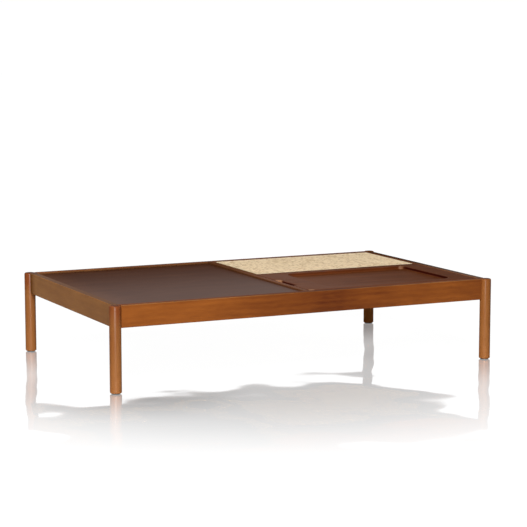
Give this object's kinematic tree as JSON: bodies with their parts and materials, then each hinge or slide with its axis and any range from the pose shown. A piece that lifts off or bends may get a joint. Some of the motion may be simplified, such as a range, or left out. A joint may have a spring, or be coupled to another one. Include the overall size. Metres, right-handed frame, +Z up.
{
  "type": "coffee table",
  "caption": "Low rectangular coffee table on round posts, with a sunk dark panel, a woven cane panel and a lift-out tray set flush in its top.",
  "frame": {"origin": "on the floor under the middle of the table", "axes": "+X along the long side, with the sunk dark panel at -X and the cane and tray at +X; +Y towards the back, the cane panel's side; +Z up"},
  "size_m": [1.4, 0.86, 0.28],
  "materials": {
    "leg_wood": "satin lacquer over warm reddish brown stain",
    "rail_wood": "satin lacquer over warm reddish brown stain",
    "divider_wood": "satin lacquer over brown stain",
    "panel_wood": "satin lacquer over dark brown stain",
    "tray_wood": "satin lacquer over dark brown stain",
    "ledger_wood": "plain sawn softwood",
    "backing_plywood": "plain plywood",
    "cane": "natural woven cane strip, satin",
    "cane_spline": "natural reed, satin",
    "glide_nylon": "matte dark brown nylon",
    "screw_steel": "zinc plated"
  },
  "bodies": {
    "table_frame": {"leg_front_left": "leg_wood", "leg_front_right": "leg_wood", "leg_back_left": "leg_wood", "leg_back_right": "leg_wood", "glide_front_left": "glide_nylon", "glide_front_right": "glide_nylon", "glide_back_left": "glide_nylon", "glide_back_right": "glide_nylon", "front_rail": "rail_wood", "back_rail": "rail_wood", "left_rail": "rail_wood", "right_rail": "rail_wood", "centre_divider": "divider_wood", "cross_bearer": "ledger_wood", "well_ledger_front": "ledger_wood", "well_ledger_back": "ledger_wood", "well_ledger_left": "ledger_wood", "well_ledger_right": "ledger_wood", "tray_ledger_front": "ledger_wood", "tray_ledger_right": "ledger_wood", "tray_ledger_left_front": "ledger_wood", "tray_ledger_left_back": "ledger_wood", "cane_ledger_back": "ledger_wood", "cane_ledger_left": "ledger_wood", "cane_ledger_right": "ledger_wood", "dark_panel": "panel_wood", "cane_backing_board": "backing_plywood", "cane_webbing": "cane", "cane_spline": "cane_spline", "cane_lipping_front": "tray_wood", "cane_lipping_right": "tray_wood", "cane_lipping_back": "tray_wood", "cane_lipping_left": "tray_wood", "ledger_screw_01": "screw_steel", "ledger_screw_02": "screw_steel", "ledger_screw_03": "screw_steel", "ledger_screw_04": "screw_steel", "ledger_screw_05": "screw_steel", "ledger_screw_06": "screw_steel", "ledger_screw_07": "screw_steel", "ledger_screw_08": "screw_steel", "ledger_screw_09": "screw_steel", "ledger_screw_10": "screw_steel", "ledger_screw_11": "screw_steel", "ledger_screw_12": "screw_steel", "ledger_screw_13": "screw_steel", "ledger_screw_14": "screw_steel", "ledger_screw_15": "screw_steel", "ledger_screw_16": "screw_steel", "ledger_screw_17": "screw_steel", "ledger_screw_18": "screw_steel", "ledger_screw_19": "screw_steel", "ledger_screw_20": "screw_steel", "ledger_screw_21": "screw_steel", "ledger_screw_22": "screw_steel"},
    "tray": {"tray_board": "tray_wood"}
  },
  "joints": [
    {"name": "tray_lift", "type": "slide", "parent": "table_frame", "child": "tray", "axis": [0, 0, 1], "range_m": [0, 0.06]}
  ]
}
